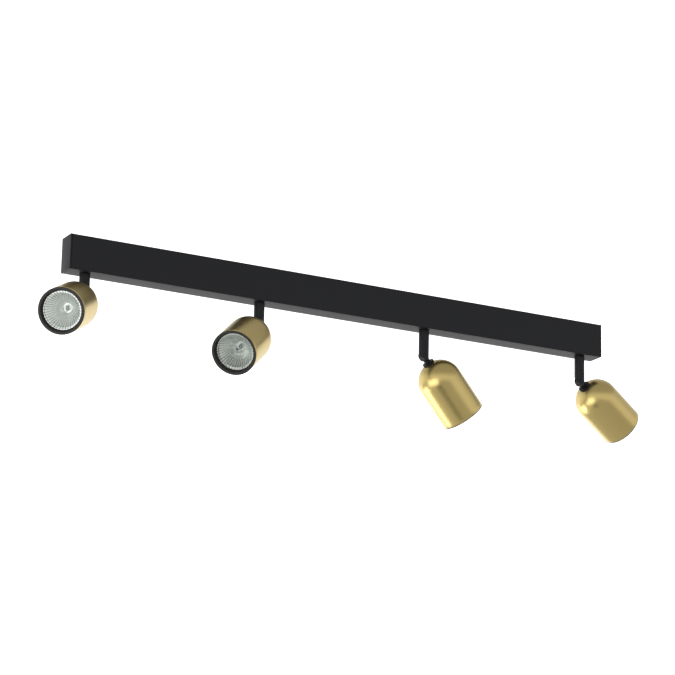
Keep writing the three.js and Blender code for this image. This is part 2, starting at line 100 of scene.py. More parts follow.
class Finish:
    """One material or world while its nodes are being put together."""

    def __init__(self, name, world=False):
        self.block = (bpy.data.worlds if world else bpy.data.materials).new(name)
        self.block.use_nodes = True
        self.tree = self.block.node_tree
        self.tree.nodes.clear()

    def node(self, kind, settings=None, inputs=None, output=0):
        node = self.tree.nodes.new("ShaderNode" + kind)
        for name, value in (settings or {}).items():
            setattr(node, name, value)
        for name, value in (inputs or {}).items():
            if isinstance(value, Value):
                self.tree.links.new(value.socket, node.inputs[name])
            else:
                node.inputs[name].default_value = value
        return Value(self, node.outputs[output]) if node.outputs else None

    def noise(self, scale, detail=3.0, stretch=(1, 1, 1)):
        place = self.node("TexCoord", output="Object")
        place = self.node("Mapping", None, {"Vector": place, "Scale": stretch})
        inputs = {"Vector": place, "Scale": scale, "Detail": detail, "Roughness": 0.55}
        return self.node("TexNoise", None, inputs)

    def ramp(self, value, low, high, shape="SMOOTHSTEP"):
        """0 where the value is low and 1 where it is high."""
        inputs = {"Value": value, "From Min": low, "From Max": high}
        return self.node("MapRange", {"interpolation_type": shape}, inputs)

    def blend(self, share, first, second):
        settings = {"data_type": "RGBA"}
        return self.node("Mix", settings, {"Factor": share, 6: first, 7: second}, output=2)

    def bump(self, height, strength, depth):
        inputs = {"Height": height, "Strength": strength, "Distance": depth * MM}
        return self.node("Bump", None, inputs)

    def surface(self, shader):
        self.node("OutputMaterial", None, {"Surface": shader})
        return self.block

    def principled(self, inputs):
        return self.surface(self.node("BsdfPrincipled", None, inputs))


def toward(azimuth, elevation):
    """The direction at an azimuth from -Y towards +X and an elevation, in degrees."""
    a, e = math.radians(azimuth), math.radians(elevation)
    return Vector((math.sin(a) * math.cos(e), -math.cos(a) * math.cos(e), math.sin(e)))


room = Finish("room", world=True)
sky = room.node("TexCoord", output="Generated")
facing = room.node("VectorMath", {"operation": "DOT_PRODUCT"},
                   {0: sky, 1: toward(*BRIGHT_WALL)}, output="Value")
behind = room.ramp(facing, 0.1, 0.75)
height = room.node("SeparateXYZ", None, {0: sky}, output="Z")
above = room.ramp(height, 0.25, 0.6)
glow = (NEAR_SIDE + behind * (BACKDROP - NEAR_SIDE)) * (1 - above * (1 - OVERHEAD))
seen = room.node("LightPath", output="Is Camera Ray")
glow = glow.maths("MAXIMUM", glow, seen * BLANK)
background = room.node("Background", None, {"Color": (1, 1, 1, 1), "Strength": glow})
room.node("OutputWorld", None, {"Surface": background})
bpy.context.scene.world = room.block
bpy.context.scene.view_settings.view_transform = "Standard"


def shown(name, mesh, material=None):
    """An object in the scene from a mesh."""
    thing = bpy.data.objects.new(name, mesh)
    bpy.context.scene.collection.objects.link(thing)
    if material:
        mesh.materials.append(material)
    return thing


def meshed(name, shape, scale=MM):
    """A mesh in metres from a bmesh in millimetres, its faces turned outwards."""
    bmesh.ops.recalc_face_normals(shape, faces=shape.faces)
    shape.transform(Matrix.Scale(scale, 4))
    mesh = bpy.data.meshes.new(name)
    shape.to_mesh(mesh)
    shape.free()
    return mesh


plaster = Finish("floor_plaster")
mottle = plaster.noise(1.5)
pale = plaster.blend(mottle, (0.80, 0.80, 0.79, 1), (0.84, 0.84, 0.83, 1))
matt = plaster.principled({"Base Color": pale, "Roughness": 0.8})
ground = bmesh.new()
bmesh.ops.create_circle(ground, cap_ends=True, segments=96, radius=FLOOR_SIZE / 2)
floor = shown("floor", meshed("floor", ground), matt)
floor.location.z = FLOOR_LEVEL * MM


def panel(name, azimuth, elevation, distance, width, height, power):
    """A soft rectangular lamp that looks at the bar."""
    light = bpy.data.lights.new(name, "AREA")
    light.shape = "RECTANGLE"
    light.size, light.size_y, light.energy = width * MM, height * MM, power
    lamp = bpy.data.objects.new(name, light)
    bpy.context.scene.collection.objects.link(lamp)
    away = toward(azimuth, elevation)
    lamp.location = away * distance * MM
    lamp.rotation_euler = (-away).to_track_quat("-Z", "Y").to_euler()
    lamp.visible_camera = False


panel("left_panel", -145, -41, 2200, 1500, 1300, 15)
panel("low_wall", 165, -18, 3600, 6500, 1700, 33)
panel("front_panel", -70, -26, 3000, 3200, 2400, 38)

black_cloth = Finish("black_cloth")
weave = black_cloth.noise(40)
dark = black_cloth.blend(weave, (0.20, 0.20, 0.20, 1), (0.26, 0.26, 0.26, 1))
cloth = black_cloth.principled({"Base Color": dark, "Roughness": 0.9})
sheet = bmesh.new()
bmesh.ops.create_circle(sheet, cap_ends=True, segments=48, radius=FLAG_RADIUS)
flag = shown("flag", meshed("flag", sheet), cloth)
flag_side = toward(FLAG_AZIMUTH, FLAG_ELEVATION)
flag.location = flag_side * FLAG_DISTANCE * MM
flag.rotation_euler = flag_side.to_track_quat("Z", "Y").to_euler()
flag.visible_camera = False

# ---- Camera -------------------------------------------------------------------------------
# It stands below and to the left of the bar with a long lens, and looks up along the bar.
CAMERA_AZIMUTH = -27.61
CAMERA_ELEVATION = -15.70
CAMERA_ROLL = 1.21
CAMERA_DISTANCE = 3828.6
AIM_RIGHT = 8.1  # how far the bar's middle lies right of and above the line of sight
AIM_UP = 71.9
FOCAL_LENGTH = 152.7

back = toward(CAMERA_AZIMUTH, CAMERA_ELEVATION)
right = Vector((0, 0, 1)).cross(back).normalized()
up = back.cross(right)
turn = Matrix.Rotation(math.radians(CAMERA_ROLL), 3, back)
right, up = turn @ right, turn @ up
stand = back * CAMERA_DISTANCE - right * AIM_RIGHT - up * AIM_UP
camera = bpy.data.objects.new("camera", bpy.data.cameras.new("camera"))
bpy.context.scene.collection.objects.link(camera)
camera.data.lens = FOCAL_LENGTH
camera.matrix_world = Matrix.Translation(stand * MM) @ Matrix((right, up, back)).transposed().to_4x4()
bpy.context.scene.camera = camera

# ---- Bar channel --------------------------------------------------------------------------
# One strip of steel folded into a channel, open at the ceiling, with a lip along its front
# edge that hooks over the bracket. Fine-textured black powder coat inside and out.
CHANNEL_SHEET = 1.5
CHANNEL_FOLD = 1.2
CHANNEL_LIP = 4.5
INSIDE_FOLD = 0.4
EDGE_ROUND = 0.3
NECK_HOLE = 5.3
FIXING_HOLE = 1.8
FIXING_DROP = 8
OVERRUN = 1  # how far a cutting tool goes past the face it cuts


def mm_box(node):
    """A CAD node's box in millimetres."""
    low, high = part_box(node)
    return low / MM, high / MM


def middle_x(node):
    low, high = mm_box(node)
    return (low.x + high.x) / 2


def rounded(points, radius, steps=4, closed=True):
    """An outline with each corner rounded off; radius is one number or one for each corner."""
    radii = radius if isinstance(radius, (list, tuple)) else [radius] * len(points)
    corners = [Vector(p) for p in points]
    result = []
    for i, (corner, r) in enumerate(zip(corners, radii)):
        if r == 0 or (not closed and i in (0, len(corners) - 1)):
            result.append(corner)
            continue
        before, after = corners[i - 1] - corner, corners[(i + 1) % len(corners)] - corner
        half = before.angle(after) / 2
        cut = min(r / math.tan(half), before.length * 0.49, after.length * 0.49)
        start, end = corner + before.normalized() * cut, corner + after.normalized() * cut
        for k in range(steps + 1):
            t = k / steps
            result.append(start * (1 - t) ** 2 + corner * 2 * t * (1 - t) + end * t * t)
    return result


def drawn(outline, low, high):
    """A bmesh of an outline in the Y-Z plane drawn along X between low and high."""
    shape = bmesh.new()
    rings = [[shape.verts.new((x, p[0], p[1])) for p in outline] for x in (low, high)]
    count = len(outline)
    for i in range(count):
        j = (i + 1) % count
        shape.faces.new((rings[0][i], rings[0][j], rings[1][j], rings[1][i]))
    shape.faces.new(rings[0])
    shape.faces.new(rings[1])
    return shape


def turned(profile, sides=64, closed=False, lift=None):
    """A bmesh of a profile of [radius, height] points turned about Z. It starts and ends on the
    axis or is closed. lift gives a point's height from its profile point and its angle."""
    shape = bmesh.new()
    rings = []
    for point in profile:
        r, z = point[:2]
        angles = [2 * math.pi * k / sides for k in range(sides if r > 1e-6 else 1)]
        heights = [lift(*point, a) if lift else z for a in angles]
        rings.append([shape.verts.new((r * math.cos(a), r * math.sin(a), h))
                      for a, h in zip(angles, heights)])
    for lower, upper in zip(rings, rings[1:] + rings[:1] if closed else rings[1:]):
        for k in range(sides):
            n = k + 1
            corners = [lower[k % len(lower)], lower[n % len(lower)],
                       upper[n % len(upper)], upper[k % len(upper)]]
            corners = list(dict.fromkeys(corners))
            if len(corners) > 2:
                shape.faces.new(corners)
    return shape


def moved(shape, matrix):
    shape.transform(matrix)
    return shape


def post(radius, low, high, place=(0, 0), sides=48):
    """A bmesh of a plain upright rod, for cutting holes with."""
    profile = [(0, low), (radius, low), (radius, high), (0, high)]
    return moved(turned(profile, sides), Matrix.Translation((place[0], place[1], 0)))


def brick(low, high):
    """A bmesh of a box between two corners."""
    outline = [(low[1], low[2]), (high[1], low[2]), (high[1], high[2]), (low[1], high[2])]
    return drawn(outline, low[0], high[0])


ALONG_Y = Matrix.Rotation(math.radians(-90), 4, "X")  # turns an upright rod to lie along +Y
ALONG_X = Matrix.Rotation(math.radians(90), 4, "Y")


def combined(name, base, steps, bevel=0.0, segments=3):
    """A mesh in millimetres of base after its joins and cuts, with its hard edges softened.
    steps is a list of (operation, bmesh)."""
    thing = shown(name, meshed(name, base, 1))
    tools = []
    for operation, tool in steps:
        other = shown("tool", meshed("tool", tool, 1))
        other.hide_render = True
        change = thing.modifiers.new("change", "BOOLEAN")
        change.operation, change.solver, change.object = operation, "EXACT", other
        tools.append(other)
    if bevel:
        soft = thing.modifiers.new("soft", "BEVEL")
        soft.width, soft.segments, soft.limit_method = bevel, segments, "ANGLE"
        soft.angle_limit = math.radians(38)
        soft.use_clamp_overlap = True
    bpy.context.view_layer.update()
    made = bpy.data.meshes.new_from_object(thing.evaluated_get(bpy.context.evaluated_depsgraph_get()))
    for other in [thing, *tools]:
        bpy.data.objects.remove(other)
    shape = bmesh.new()
    shape.from_mesh(made)
    bmesh.ops.remove_doubles(shape, verts=shape.verts, dist=0.001)
    bpy.data.meshes.remove(made)
    return shape


def piece(name, mesh, material, body, slot, *nodes, place=None, sharp=35):
    """A finished piece: smooth where it curves, riding on its body in place of its CAD nodes."""
    mesh.polygons.foreach_set("use_smooth", [True] * len(mesh.polygons))
    mesh.set_sharp_from_angle(angle=math.radians(sharp))
    if not mesh.materials:
        mesh.materials.append(material)
    thing = shown(name, mesh)
    if place:
        thing.matrix_world = place
    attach(thing, body)
    if nodes:
        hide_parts(*nodes)
    return thing


def powder_coat():
    """Black polyester powder, baked: a fine orange peel and a faint unevenness in its sheen."""
    coat = Finish("black_coat")
    cloud = coat.noise(35, 4)
    grit = coat.noise(1900, 2)
    peel = coat.noise(420, 2)
    tone = coat.blend(cloud, (0.0062, 0.0066, 0.0092, 1), (0.0095, 0.010, 0.0132, 1))
    sheen = 0.40 + cloud * 0.08 + grit * 0.06
    skin = coat.bump(grit * 0.4 + peel, 0.35, 0.05)
    inputs = {"Base Color": tone, "Roughness": sheen, "Normal": skin, "Specular IOR Level": 0.36}
    return coat.principled(inputs)


black_coat = powder_coat()
stems = [joint for joint in frame["joints"] if joint["name"].startswith("pan_")]
tilts = [joint for joint in frame["joints"] if joint["name"].startswith("tilt_")]
stem_xs = [joint["pos_m"][0] / MM for joint in stems]
low, high = mm_box("bar_channel")
half_bar, underside = high.y, low.z
inner_half = half_bar - CHANNEL_SHEET
floor_top = underside + CHANNEL_SHEET
fixing_xs = [middle_x(f"fixing_screw_{side}") for side in ("left", "right")]
channel_outline = rounded(
    [(half_bar, 0), (inner_half, 0), (inner_half, floor_top), (-inner_half, floor_top),
     (-inner_half, -CHANNEL_SHEET), (CHANNEL_LIP - half_bar, -CHANNEL_SHEET),
     (CHANNEL_LIP - half_bar, 0), (-half_bar, 0), (-half_bar, underside), (half_bar, underside)],
    [EDGE_ROUND] * 2 + [INSIDE_FOLD] * 3 + [EDGE_ROUND] * 2 + [CHANNEL_FOLD] * 3,
    6,
)
holes = [("DIFFERENCE", post(NECK_HOLE, underside - 2, floor_top + 2, (x, 0)))
         for x in stem_xs]
for x in fixing_xs:
    drill = moved(post(FIXING_HOLE, inner_half - OVERRUN, half_bar + OVERRUN), ALONG_Y)
    holes.append(("DIFFERENCE", moved(drill, Matrix.Translation((x, 0, -FIXING_DROP)))))
channel = meshed("bar_channel_skin", combined("channel", drawn(channel_outline, low.x, high.x), holes))
piece("bar_channel_skin", channel, black_coat, "bar", "black_coat", "bar_channel")

# ---- End caps -----------------------------------------------------------------------------
# Two plates that close the channel. Each has a shallow tray behind it that is pushed into
# the channel, and its outer edges are bevelled.
CAP_THICKNESS = 2.0
CAP_BEVEL = 0.75
TRAY_WALL = 1.5
TRAY_FIT = 0.3


def cap_shape(outer, inner):
    """A cap between its outer face at x = outer and its tray's end at x = inner."""
    way = 1 if outer > 0 else -1
    plate_back = outer - way * CAP_THICKNESS
    edge = [(-half_bar, underside), (half_bar, underside), (half_bar, 0), (-half_bar, 0)]
    plate = drawn(rounded(edge, 0.5, 3), *sorted((outer, plate_back)))
    fit = CHANNEL_SHEET + TRAY_FIT
    y, z0, z1 = half_bar - fit, underside + fit, -fit
    span = sorted((inner, plate_back + way * 0.5))
    tray = brick((span[0], -y, z0), (span[1], y, z1))
    span = sorted((inner - way, plate_back))
    hollow = brick((span[0], TRAY_WALL - y, z0 + TRAY_WALL), (span[1], y - TRAY_WALL, z1 - TRAY_WALL))
    return combined("cap", plate, [("UNION", tray), ("DIFFERENCE", hollow)], CAP_BEVEL)


for name, end in (("end_cap_left", 0), ("end_cap_right", 1)):
    box = mm_box(name)
    cap = meshed(name + "_plate", cap_shape(box[end].x, box[1 - end].x))
    piece(name + "_plate", cap, black_coat, "bar", "black_coat", name)

# ---- Ceiling bracket ----------------------------------------------------------------------
# A bright zinc-plated steel strip that is screwed to the ceiling. The channel's lip hangs on its
# joggled front edge, and its rear flange is tapped for the two fixing screws.
CLEARANCE = 0.3
BRACKET_SHEET = 1.5
BRACKET_FLANGE = 14
BRACKET_FOLD = 1.2
BRACKET_EDGE = 0.25
BRACKET_INSIDE = 0.3
JOGGLE_FOLD = 1.0
SLOT_INSET = 30
SLOT_LENGTH = 12
SLOT_WIDTH = 5
GROMMET_FLANGE = 2.2
EARTH_HOLE = 2.3


def zinc_plate():
    """Bright zinc: clouded where the plating took unevenly, with fine drawing lines."""
    zinc = Finish("zinc_steel")
    cloud = zinc.noise(160, 4)
    lines = zinc.noise(90, 3, stretch=(1, 30, 30))
    tone = zinc.blend(cloud, (0.50, 0.52, 0.55, 1), (0.66, 0.67, 0.68, 1))
    sheen = 0.24 + cloud * 0.16 + lines * 0.1
    skin = zinc.bump(lines + cloud * 0.5, 0.25, 0.04)
    inputs = {"Base Color": tone, "Metallic": 1.0, "Roughness": sheen, "Normal": skin}
    return zinc.principled(inputs)


zinc_steel = zinc_plate()
bracket_low, bracket_high = mm_box("ceiling_bracket")
bracket_back = inner_half - CLEARANCE
web_back = bracket_back - BRACKET_SHEET
hook_front = CHANNEL_LIP - half_bar + CLEARANCE
hook_top = -CHANNEL_SHEET - CLEARANCE
web_front = hook_front + BRACKET_SHEET
web_middle = (web_front + web_back) / 2
bracket_foot = CLEARANCE - inner_half
bracket_outline = rounded(
    [(bracket_back, 0), (bracket_back, -BRACKET_FLANGE), (web_back, -BRACKET_FLANGE),
     (web_back, -BRACKET_SHEET), (web_front, -BRACKET_SHEET), (web_front, hook_top - BRACKET_SHEET),
     (bracket_foot, hook_top - BRACKET_SHEET), (bracket_foot, hook_top), (hook_front, hook_top),
     (hook_front, 0)],
    [BRACKET_FOLD, BRACKET_EDGE, BRACKET_EDGE, BRACKET_INSIDE, BRACKET_INSIDE,
     JOGGLE_FOLD, BRACKET_EDGE, BRACKET_EDGE, BRACKET_INSIDE, JOGGLE_FOLD],
    5,
)
cable_x = middle_x("cable_grommet")
earth_x = middle_x("earth_screw")
cable_hole = (web_back - web_front) / 2 - GROMMET_FLANGE - CLEARANCE
below, above = -BRACKET_SHEET - 2, 2
holes = [("DIFFERENCE", post(cable_hole, below, above, (cable_x, web_middle), 64)),
         ("DIFFERENCE", post(EARTH_HOLE, below, above, (earth_x, web_middle)))]
for x in fixing_xs:
    drill = moved(post(FIXING_HOLE, web_back - OVERRUN, bracket_back + OVERRUN), ALONG_Y)
    holes.append(("DIFFERENCE", moved(drill, Matrix.Translation((x, 0, -FIXING_DROP)))))
for side in (-1, 1):
    x = side * (bracket_high.x - SLOT_INSET)
    reach = (SLOT_LENGTH - SLOT_WIDTH) / 2
    holes += [("DIFFERENCE", post(SLOT_WIDTH / 2, below, above, (x + s * reach, web_middle)))
              for s in (-1, 1)]
    edge = SLOT_WIDTH / 2 - 0.002
    slot = brick((x - reach, web_middle - edge, below), (x + reach, web_middle + edge, above))
    holes.append(("DIFFERENCE", slot))
strip = drawn(bracket_outline, bracket_low.x, bracket_high.x)
bracket = meshed("ceiling_bracket_strip", combined("bracket", strip, holes))
piece("ceiling_bracket_strip", bracket, zinc_steel, "bar", "zinc_steel", "ceiling_bracket")

# ---- Fixing screws and earth screw --------------------------------------------------------
# Pan-head machine screws with a cross recess. Two black ones clamp the channel to the bracket
# from behind, and a zinc one under the bracket's web clamps the earth wire.
THREAD_PITCH = 0.5
FIXING_SHANK = 1.5
FIXING_HEAD = 3
FIXING_HEAD_HEIGHT = 1.8
EARTH_SHANK = 2
EARTH_HEAD = 4
EARTH_HEAD_HEIGHT = 2.6


def threaded(radius, low, high, depth=0.25, pitch=THREAD_PITCH):
    """Profile points up the flank of a thread, as [radius, height], from low to high."""
    turns = max(1, round((high - low) / pitch))
    step = (high - low) / turns
    points = []
    for k in range(turns):
        points += [(radius - depth, low + k * step), (radius, low + (k + 0.5) * step)]
    return points + [(radius - depth, high)]


def pan_screw(shank, top, seat, head, depth):
    """A screw on the Z axis with its head down, its shank up to top and a cross recess."""
    bottom = seat - depth
    crown = [(0, bottom)]
    for k in range(1, 9):
        a = math.radians(90 * k / 8)
        crown.append((head * math.sin(a) ** 0.8, bottom + depth * 0.75 * (1 - math.cos(a))))
    profile = crown + [(head, seat - 0.1), (head - 0.1, seat), (shank, seat)]
    profile += threaded(shank, seat + 0.4, top - 0.4) + [(shank - 0.5, top), (0, top)]
    cuts = []
    long, wide = head * 0.5, head * 0.13
    for turn_by in (0, 90):
        arm = brick((-long, -wide, bottom - OVERRUN), (long, wide, bottom + depth * 0.55))
        cuts.append(("DIFFERENCE", moved(arm, Matrix.Rotation(math.radians(turn_by), 4, "Z"))))
    return combined("screw", turned(profile, 48), cuts, 0.05, 2)


fixing_reach = 2 * (CHANNEL_SHEET + BRACKET_SHEET)
for side, x in zip(("left", "right"), fixing_xs):
    node = f"fixing_screw_{side}"
    shape = pan_screw(FIXING_SHANK, fixing_reach, -CLEARANCE, FIXING_HEAD, FIXING_HEAD_HEIGHT)
    mesh = meshed(node + "_body", moved(shape, Matrix.Rotation(math.radians(90), 4, "X")))
    place = Matrix.Translation(Vector((x, half_bar, -FIXING_DROP)) * MM)
    piece(node + "_body", mesh, black_coat, "bar", "black_coat", node, place=place)
shape = pan_screw(EARTH_SHANK, -CLEARANCE, -BRACKET_SHEET - CLEARANCE, EARTH_HEAD, EARTH_HEAD_HEIGHT)
place = Matrix.Translation(Vector((earth_x, web_middle, 0)) * MM)
mesh = meshed("earth_screw_body", shape)
piece("earth_screw_body", mesh, zinc_steel, "bar", "zinc_steel", "earth_screw", place=place)

# ---- Cable grommet ------------------------------------------------------------------------
# A soft black rubber ring pushed up through the bracket's web, where the supply cable comes in.
GROMMET_WALL = 2


def moulded(name, dark, light, roughness, grain=900, depth=0.03):
    """A moulded plastic or rubber: nearly even in colour, with a fine dull grain."""
    stuff = Finish(name)
    cloud = stuff.noise(120, 3)
    fine = stuff.noise(grain, 2)
    tone = stuff.blend(cloud, (*dark, 1), (*light, 1))
    inputs = {
        "Base Color": tone,
        "Roughness": roughness - 0.05 + cloud * 0.06 + fine * 0.05,
        "Normal": stuff.bump(fine, 0.3, depth),
    }
    return stuff.principled(inputs)


black_rubber = moulded("black_rubber", (0.012, 0.012, 0.012), (0.02, 0.02, 0.02), 0.6)
grommet_outer = cable_hole - CLEARANCE
grommet_seat = -BRACKET_SHEET - CLEARANCE
grommet_outline = rounded(
    [(grommet_outer - GROMMET_WALL, 0), (grommet_outer, 0), (grommet_outer, grommet_seat),
     (grommet_outer + GROMMET_FLANGE, grommet_seat),
     (grommet_outer + GROMMET_FLANGE, grommet_seat - GROMMET_FLANGE),
     (grommet_outer - GROMMET_WALL, grommet_seat - GROMMET_FLANGE)],
    [0.5, 0.3, 0, 0.4, 0.9, 0.8], 5)
mesh = meshed("cable_grommet_ring", turned(grommet_outline, 72, closed=True))
place = Matrix.Translation(Vector((cable_x, web_middle, 0)) * MM)
piece("cable_grommet_ring", mesh, black_rubber, "bar", "black_plastic", "cable_grommet", place=place)

# ---- Terminal block -----------------------------------------------------------------------
# A three-pole block of natural nylon on the channel's floor under the cable's way in. Each pole
# is a raised barrel with a brass tube and two clamping screws reached from above.
POLES = 3
POLE_BORE = 1.7
BARREL_CHAMFER = 1.2
BARREL_GROOVE = 3

white_nylon = moulded("white_nylon", (0.70, 0.68, 0.62), (0.78, 0.77, 0.72), 0.45)
block_low, block_high = mm_box("terminal_block")
pitch = (block_high.y - block_low.y) / POLES
middle_z = (block_low.z + block_high.z) / 2
quarter = (block_high.x - block_low.x) / 4
crests = [(block_high.y, block_low.z), (block_low.y, block_low.z)]
for k in range(POLES):
    y = block_low.y + k * pitch
    crests += [(y, block_high.z - BARREL_CHAMFER), (y + BARREL_CHAMFER, block_high.z),
               (y + pitch - BARREL_CHAMFER, block_high.z), (y + pitch, block_high.z - BARREL_CHAMFER)]
    if k < POLES - 1:
        crests += [(y + pitch + side, block_high.z - BARREL_GROOVE) for side in (-0.05, 0.05)]
block = drawn(crests, block_low.x, block_high.x)
cuts, clamps = [], bmesh.new()


def gathered(whole, part):
    """Adds one bmesh to another and frees it."""
    mesh = bpy.data.meshes.new("part")
    part.to_mesh(mesh)
    part.free()
    whole.from_mesh(mesh)
    bpy.data.meshes.remove(mesh)
    return whole


for k in range(POLES):
    y = block_low.y + (k + 0.5) * pitch
    lying = Matrix.Translation((0, y, middle_z)) @ ALONG_X
    cuts.append(("DIFFERENCE", moved(post(POLE_BORE, block_low.x - OVERRUN, block_high.x + OVERRUN), lying)))
    tube = [(POLE_BORE - 0.45, block_low.x + 4), (POLE_BORE - 0.05, block_low.x + 4),
            (POLE_BORE - 0.05, block_high.x - 4), (POLE_BORE - 0.45, block_high.x - 4)]
    gathered(clamps, moved(turned(tube, 32, closed=True), lying))
    for x in (block_low.x + quarter, block_high.x - quarter):
        cuts.append(("DIFFERENCE", post(POLE_BORE, middle_z, block_high.z + 1, (x, y))))
        top = block_high.z - 2.5
        head = [(0, middle_z + 1.8), (1.5, middle_z + 1.8), (1.5, top - 0.2), (1.3, top), (0, top)]
        slit = brick((-2, -0.2, top - 0.6), (2, 0.2, top + 1))
        screw = combined("clamp", turned(head, 32), [("DIFFERENCE", slit)])
        gathered(clamps, moved(screw, Matrix.Translation((x, y, 0))))
mesh = meshed("terminal_block_body", combined("block", block, cuts, 0.25, 2))
piece("terminal_block_body", mesh, white_nylon, "bar", "white_nylon", "terminal_block")
piece("terminal_clamps", meshed("terminal_clamps", clamps), zinc_steel, "bar", "zinc_steel")

# ---- Wires inside the bar -----------------------------------------------------------------
# Silicone-insulated leads: brown live along the front wall, blue neutral along the rear wall,
# both dropping into every stem, and a green and yellow earth lead to the bracket's screw.
WIRE_RADIUS = 0.9
WIRE_WALL_GAP = 1.2
WIRE_RISE = 4
NECK_HEIGHT = 8
NECK_BORE = 3
WIRE_REACH = 14


def smooth_path(points, steps=8):
    """Points along a Catmull-Rom curve through a few chosen ones."""
    chain = [Vector(p) for p in points]
    chain = [chain[0] * 2 - chain[1], *chain, chain[-1] * 2 - chain[-2]]
    path = []
    for a, b, c, d in zip(chain, chain[1:], chain[2:], chain[3:]):
        for k in range(steps):
            t = k / steps
            path.append(0.5 * (2 * b + (c - a) * t + (2 * a - 5 * b + 4 * c - d) * t * t
                               + (3 * b - a - 3 * c + d) * t ** 3))
    return path + [chain[-2]]


def tube(path, radius, sides=16):
    """A round closed tube along a path, its section carried along without twist."""
    shape = bmesh.new()
    aim = (path[1] - path[0]).normalized()
    across = aim.orthogonal().normalized()
    rings = []
    for i, point in enumerate(path):
        ahead = path[min(i + 1, len(path) - 1)] - path[max(i - 1, 0)]
        across = (across - ahead.normalized() * across.dot(ahead.normalized())).normalized()
        other = ahead.normalized().cross(across)
        angles = [2 * math.pi * k / sides for k in range(sides)]
        rings.append([shape.verts.new(point + radius * (across * math.cos(a) + other * math.sin(a)))
                      for a in angles])
    for first, second in zip(rings, rings[1:]):
        for k in range(sides):
            n = (k + 1) % sides
            shape.faces.new((first[k], first[n], second[n], second[k]))
    shape.faces.new(rings[0])
    shape.faces.new(rings[-1])
    return shape


def striped_insulation():
    """Green insulation with a yellow stripe along its upper side."""
    wire = Finish("earth_insulation")
    place = wire.node("TexCoord", output="Normal")
    height = wire.node("SeparateXYZ", None, {"Vector": place}, output="Z")
    stripe = wire.ramp(height, 0.15, 0.3)
    tone = wire.blend(stripe, (0.035, 0.22, 0.03, 1), (0.72, 0.52, 0.02, 1))
    fine = wire.noise(900, 2)
    inputs = {"Base Color": tone, "Roughness": 0.42 + fine * 0.08, "Normal": wire.bump(fine, 0.2, 0.02)}
    return wire.principled(inputs)


wire_y = inner_half - WIRE_WALL_GAP - WIRE_RADIUS
wire_z = underside + NECK_HEIGHT + WIRE_RISE
brown = moulded("brown_insulation", (0.10, 0.035, 0.012), (0.14, 0.05, 0.02), 0.45)
blue = moulded("blue_insulation", (0.02, 0.09, 0.30), (0.03, 0.12, 0.36), 0.45)
for name, side, finish, slot in (("live_wire", -1, brown, "brown_insulation"),
                                 ("neutral_wire", 1, blue, "blue_insulation")):
    y = side * wire_y
    in_bore = side * (NECK_BORE - WIRE_RADIUS - CLEARANCE)
    run = [Vector((stem_xs[0] + WIRE_REACH, y, wire_z)), Vector((stem_xs[-1] - WIRE_REACH, y, wire_z))]
    lead = tube(run, WIRE_RADIUS)
    for x in stem_xs:
        inward = 1 if x < 0 else -1
        drop = smooth_path([(x, in_bore, floor_top), (x, in_bore, wire_z - WIRE_RISE),
                            (x + inward, in_bore * 1.5, wire_z - WIRE_RISE / 3),
                            (x + inward * 8, y * 0.9, wire_z), (x + inward * (WIRE_REACH + 1), y, wire_z)])
        gathered(lead, tube(drop, WIRE_RADIUS * 0.98))
    piece(name + "_lead", meshed(name + "_lead", lead), finish, "bar", slot, name)
seat = -BRACKET_SHEET - EARTH_HEAD_HEIGHT - 2 * CLEARANCE - WIRE_RADIUS
entry = block_low.x
path = smooth_path([(earth_x, web_middle, seat), (earth_x + 14, web_middle, seat - 1),
                    (earth_x + 40, 0, seat - 10), (entry - 40, 0, middle_z + 4),
                    (entry - 12, 0, middle_z), (entry + 3, 0, middle_z)])
lead = meshed("earth_wire_lead", tube(path, WIRE_RADIUS))
piece("earth_wire_lead", lead, striped_insulation(), "bar", "green_insulation", "earth_wire")

# ---- Stems --------------------------------------------------------------------------------
# Turned steel rods, black coated, that swivel in the channel's floor under a nut, with the wires
# in their hollow threaded necks. The lower end is milled to a round-nosed cheek, tapped for the
# pivot screw, beside a round seat for the knuckle's eye that is open where the head swings up.
STEM_RADIUS = 7
NECK_RADIUS = 5
CHEEK_OFFSET = 2  # from the stem's axis to the near face of the knuckle's eye
EYE_THICKNESS = 5
WAIST_RADIUS = 4.4
PIVOT_RADIUS = 1.8
PIVOT_HEAD = 3.4
PIVOT_HEAD_HEIGHT = 2.2
PIVOT_SOCKET = 1.5
PIVOT_WALL = 1.8  # metal left beyond the end of the pivot screw
NUT_FLATS = 14
NUT_HEIGHT = 3
NUT_CHAMFER = 0.75
NOSE_RINGS = 14
SOFT_EDGE = 0.45
WIDE = 20  # for cutting blocks that reach past the rod on every side
RELIEF_STEP = 0.05  # keeps the relief's wall off the plane of the seat's

tilt_drop = underside - tilts[0]["pos_m"][2] / MM
seat_radius = STEM_RADIUS + CLEARANCE
eye_near = -CHEEK_OFFSET
eye_far = eye_near + EYE_THICKNESS


def nose(toward):
    """Profile points across the round end of a rod, from its middle out to its side."""
    return [(STEM_RADIUS * k / NOSE_RINGS, 0, toward) for k in range(NOSE_RINGS + 1)]


def rounded_end(axis):
    """Lifts a profile's nose points to a cylinder that lies along Y about the tilt axis."""
    def lift(radius, height, toward, angle):
        across = radius * math.cos(angle)
        return axis + toward * math.sqrt(STEM_RADIUS ** 2 - across ** 2) if toward else height
    return lift


def plain(points):
    """Profile points that stay at their own height."""
    return [(*point, 0) for point in points]


def cross_rod(radius, low, high, height):
    """A rod along Y at a height, for cutting."""
    return moved(post(radius, low, high), Matrix.Translation((0, 0, height)) @ ALONG_Y)


